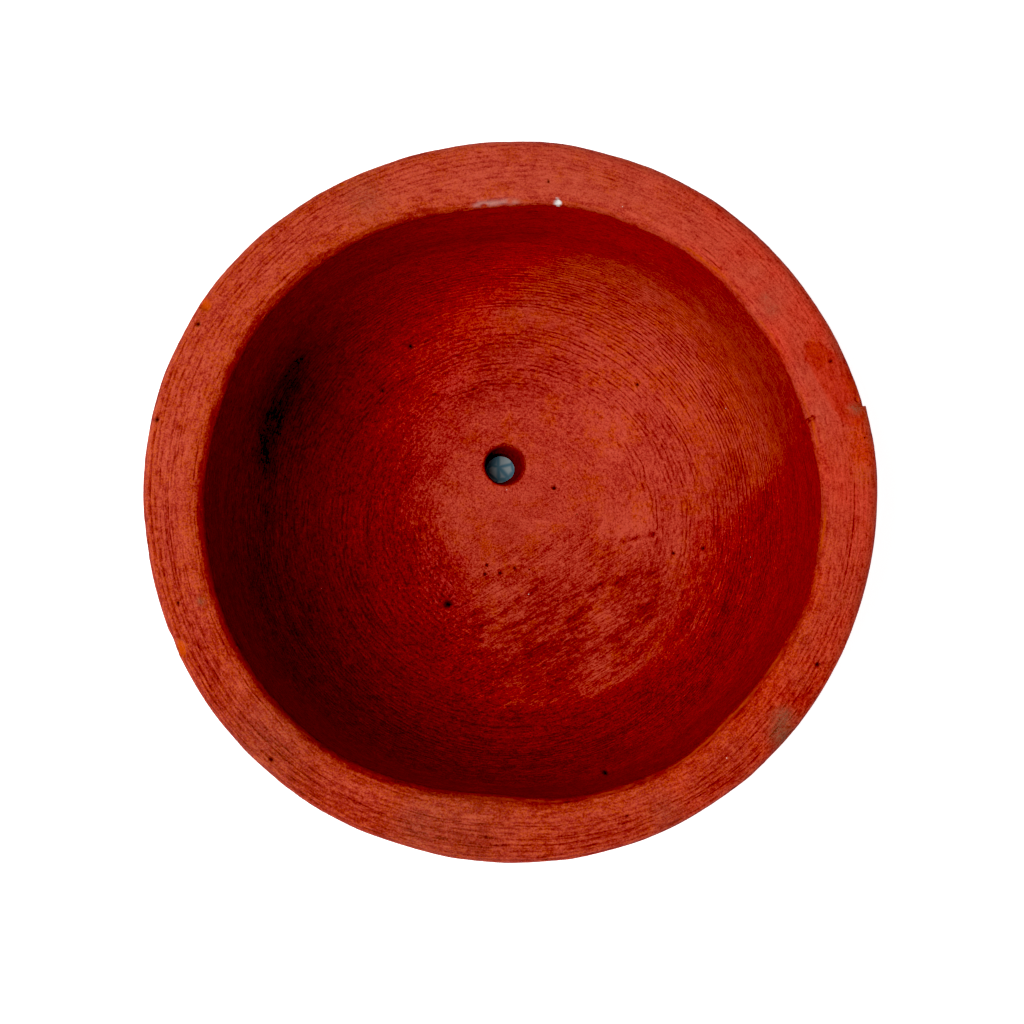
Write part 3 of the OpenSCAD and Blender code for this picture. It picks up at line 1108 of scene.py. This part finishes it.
def worn_and_marked(n, place, grain, colour):
    """Worn edges with a painted highlight on the lit lip, scuffs, the bare foot, painted shade on the
    upper-left wall and in the drain hole and pinholes, dark blotches, specks and chalk over the wash.
    """
    # Worn orange on the lip and in the knocks, with a painted highlight along the lip at the lit right
    colour = n.mix(n.times(n.mark("wear_and_highlight"), n.span(grain, 0.35, 0.6, 0.95, 0.45)), colour, WORN_AND_HIGHLIGHT)
    colour = n.mix(n.times(n.mark("grey"), n.span(grain, 0.4, 0.6, 0.25, 0.85)), colour, GREY)
    raw = n.mix(n.times(n.span(grain, 0.5, 0.65), 0.4), BARE, GREY)
    colour = n.mix(n.mark("bare"), colour, raw)
    # Painted shade on the upper-left wall and the drain hole's wall, deepest at the blotches
    colour = n.tint(n.times(n.mark("darkening"), 0.75), colour, SHADE_AND_BLOTCH_TINT)
    # Painted shade filling the pinholes
    colour = n.mix(n.mark("pit_shade"), colour, FLECK_AND_SHADE_BLACK)
    # Black flecks at the blotches and thinly over the left side
    flecks = n.math("ADD", n.times(n.mark("blotch"), 0.13), n.noise(place, 1.05, 3, 0.7))
    flecks = n.math("ADD", flecks, n.span(n.noise(place, 0.2, 2), 0.4, 0.65, -0.06, 0.05))
    flecks = n.times(n.span(flecks, 0.66, 0.72), n.span(n.mark("blotch"), 0, 0.4, 0, 0.95))
    colour = n.mix(flecks, colour, FLECK_AND_SHADE_BLACK)
    colour = n.mix(n.specks(place, 9.0, 0.3), colour, FLECK_AND_SHADE_BLACK)
    colour = n.mix(n.specks(n.vector("ADD", place, (3.1, 1.7, 5.3)), 13.0, 0.22), colour, CHALK)
    return n.mix(n.mark("chalk"), colour, CHALK)


def clay_material(name):
    """Ochre wash over clay: dusty ridges, turned lines darkened with painted shade, sandy grain, and
    worn edges with a painted highlight along the lit lip.
    """
    n = Nodes(name)
    place, along, cover = n.place(), n.mark("along"), n.mark("coat_and_shade")
    grain = n.noise(place, 1.9, 3, 0.7)
    both, cut = clay_grain(n, place, along, grain), clay_lines(n, place, along)
    colour = wash_colour(n, place, cover, both, cut)
    n.put(n.shader, "Base Color", worn_and_marked(n, place, grain, colour))
    n.put(n.shader, "Roughness", n.span(cover, 0, 1, 0.92, 0.7))
    n.shader.inputs["Specular IOR Level"].default_value = 0.3

    relief = n.math("SUBTRACT", n.times(both, 0.7), n.times(cut, 0.8))
    relief = n.times(relief, n.span(cover, 0, 1, 1.0, 0.35))
    bump = n.new("Bump")
    bump.inputs["Strength"].default_value = 0.8
    bump.inputs["Distance"].default_value = 0.00022
    n.put(bump, "Height", relief)
    n.put(n.shader, "Normal", bump.outputs[0])
    return n.material


def table_material():
    """A pale, evenly bright table, with painted shade where the pot stands on it: dim, bluish-grey and
    beaded there.
    """
    n = Nodes("PaleTable")
    away = n.vector("LENGTH", n.place())
    # Painted shade: inside this ring the table glows less and shows shaded beads, as the pot's shade on
    # it
    dim_r, bright_r = BASE_R - 8, BASE_R + 2
    open_air = n.span(away, dim_r, bright_r)
    beads = n.new("TexVoronoi")
    beads.feature = "DISTANCE_TO_EDGE"
    n.put(beads, "Vector", n.place())
    beads.inputs["Scale"].default_value = 0.27
    shaded = n.mix(n.span(beads.outputs["Distance"], 0.22, 0.03), BEAD_SHADE, BEAD_EDGE_SHADE)
    n.put(n.shader, "Base Color", n.mix(open_air, shaded, TABLE_WHITE))
    n.shader.inputs["Roughness"].default_value = 0.9
    n.shader.inputs["Emission Color"].default_value = (1, 1, 1, 1)
    n.put(n.shader, "Emission Strength", n.span(away, dim_r, bright_r, 0.03, 0.82))
    return n.material


# ---- stage

CAMERA_TILT = math.radians(84.5)
CAMERA_AWAY = 0.65
# The rim's share of the picture's width, and where the camera aims from the middle of its top
RIM_SHARE = 0.709
AIM = Vector((0.00065, -0.0048, 0))
SENSOR_WIDTH = 36
TABLE_SIZE = 6
ROOM_COLOUR = (0.95, 0.97, 1, 1)
ROOM_LIGHT = 0.14
BLACK_LEVEL = 0.03


def add_camera():
    """Nearly straight above the pot, from the front."""
    target = Vector((0, 0, RIM_HIGH.z)) + AIM
    back = Vector((0, -math.cos(CAMERA_TILT), math.sin(CAMERA_TILT)))
    data = bpy.data.cameras.new("Camera")
    data.sensor_width = SENSOR_WIDTH
    data.lens = data.sensor_width * RIM_SHARE * CAMERA_AWAY / (RIM_HIGH.x - RIM_LOW.x)
    data.clip_start, data.clip_end = 0.01, 20
    camera = bpy.data.objects.new("Camera", data)
    camera.location = target + back * CAMERA_AWAY
    camera.rotation_euler = (-back).to_track_quat("-Z", "Y").to_euler()
    bpy.context.scene.collection.objects.link(camera)
    bpy.context.scene.camera = camera


def add_softbox(name, azimuth, elevation, away, size, power, colour):
    """A round area light aimed at the mouth of the pot."""
    a, e = math.radians(azimuth), math.radians(elevation)
    way = Vector((math.cos(a) * math.cos(e), math.sin(a) * math.cos(e), math.sin(e)))
    data = bpy.data.lights.new(name, "AREA")
    data.shape = "DISK"
    data.size, data.energy, data.color = size, power, colour
    lamp = bpy.data.objects.new(name, data)
    lamp.location = Vector((0, 0, RIM_HIGH.z)) + way * away
    lamp.rotation_euler = (-way).to_track_quat("-Z", "Y").to_euler()
    bpy.context.scene.collection.objects.link(lamp)


def add_stage():
    """The table, two lamps, the even light of the room, and a view with deep blacks."""
    bpy.ops.mesh.primitive_plane_add(size=TABLE_SIZE, location=(0, 0, 0))
    table = bpy.context.object
    table.name = "Table"
    table.data.materials.append(table_material())
    add_softbox("Key", 190, 66, 1.5, 0.85, 20, (1, 0.98, 0.95))
    add_softbox("Front", 275, 45, 1.6, 0.6, 3.2, (1, 0.97, 0.94))
    world = bpy.data.worlds.new("Room")
    world.use_nodes = True
    light = world.node_tree.nodes["Background"]
    light.inputs["Color"].default_value = ROOM_COLOUR
    light.inputs["Strength"].default_value = ROOM_LIGHT
    bpy.context.scene.world = world
    view = bpy.context.scene.view_settings
    view.view_transform = "Standard"
    view.use_curve_mapping = True
    view.curve_mapping.black_level = (BLACK_LEVEL,) * 3
    view.curve_mapping.update()


build_bowl(clay_material("OchreBowl"))
build_collar(clay_material("OchreRim"))
add_camera()
add_stage()
